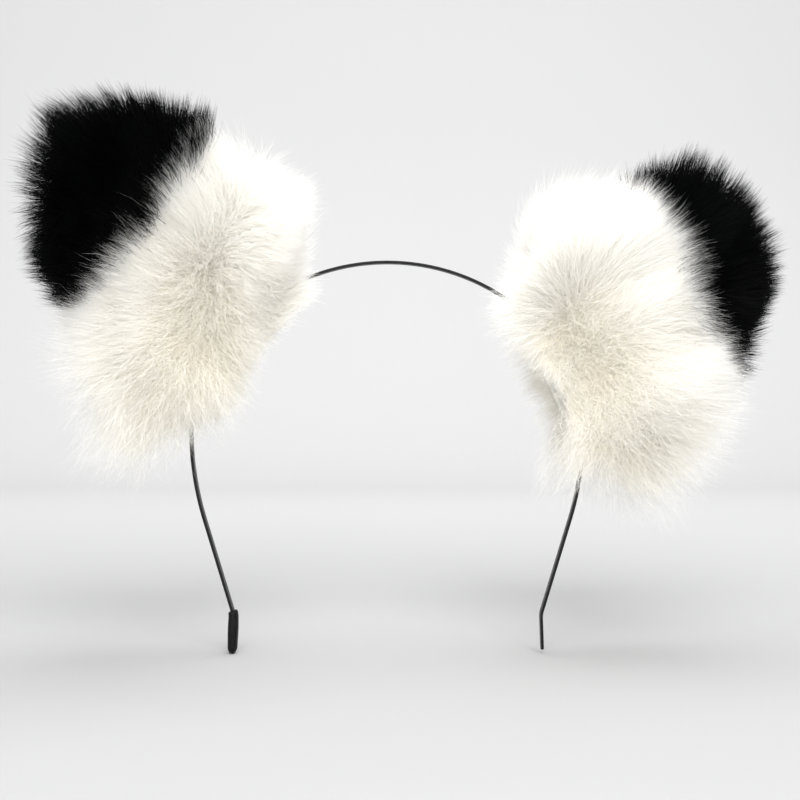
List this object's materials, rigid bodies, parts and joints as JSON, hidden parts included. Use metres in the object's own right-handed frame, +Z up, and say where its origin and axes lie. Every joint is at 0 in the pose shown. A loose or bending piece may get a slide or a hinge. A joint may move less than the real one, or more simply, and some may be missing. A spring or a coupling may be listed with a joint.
{
  "type": "animal ears headband",
  "caption": "Slim sprung metal headband with plush fur animal ears on wire frames that tilt on felt sleeves; the arms flex open over the head.",
  "frame": {"origin": "underside of the metal strip at the crown, where it rests on the head", "axes": "+X to the wearer's left as seen from the front, +Y to the back, +Z up"},
  "size_m": [0.265, 0.0755, 0.202],
  "materials": {
    "black_strip": "semi-gloss black over spring steel",
    "rubber_tip": "moulded satin",
    "black_felt": "felted wool",
    "thread": "wound thread",
    "wire": "drawn steel wire",
    "stiffener": "needled stiff felt",
    "stuffing": "loose fibre fill",
    "white_fur": "long pile faux fur, cream at the roots and white at the tips",
    "white_felt": "felt lining",
    "black_fur": "long pile faux fur, black"
  },
  "bodies": {
    "crown": {"band_crown": "black_strip"},
    "left_arm": {"band_left_arm": "black_strip", "left_end_tip": "rubber_tip", "left_sleeve": "black_felt", "left_sleeve_bindings": "thread"},
    "right_arm": {"band_right_arm": "black_strip", "right_sleeve": "black_felt", "right_sleeve_bindings": "thread"},
    "left_ear": {"left_ear_wire_frame": "wire", "left_ear_stiffener": "stiffener", "left_ear_base_felt": "white_felt", "left_ear_stuffing": "stuffing", "left_ear_front_fur": "white_fur", "left_ear_back_fur": "white_fur", "left_ear_tip_fur": "black_fur"},
    "right_ear": {"right_ear_wire_frame": "wire", "right_ear_stiffener": "stiffener", "right_ear_base_felt": "white_felt", "right_ear_stuffing": "stuffing", "right_ear_front_fur": "white_fur", "right_ear_back_fur": "white_fur", "right_ear_tip_fur": "black_fur"}
  },
  "joints": [
    {"name": "left_arm_flex", "type": "hinge", "parent": "crown", "child": "left_arm", "pos_m": [-0.01389, 0, -0.00072], "axis": [0, 1, 0], "range_deg": [-3, 9], "stiffness_Nm_per_rad": 1.2},
    {"name": "right_arm_flex", "type": "hinge", "parent": "crown", "child": "right_arm", "pos_m": [0.01389, 0, -0.00072], "axis": [0, -1, 0], "range_deg": [-3, 9], "stiffness_Nm_per_rad": 1.2},
    {"name": "left_ear_tilt", "type": "hinge", "parent": "left_arm", "child": "left_ear", "pos_m": [-0.05701, 0, -0.0286], "axis": [0.6449, 0, 0.7643], "range_deg": [-38, 15]},
    {"name": "right_ear_tilt", "type": "hinge", "parent": "right_arm", "child": "right_ear", "pos_m": [0.06494, 0, -0.04181], "axis": [0.4181, 0, -0.9084], "range_deg": [-12, 41]}
  ]
}
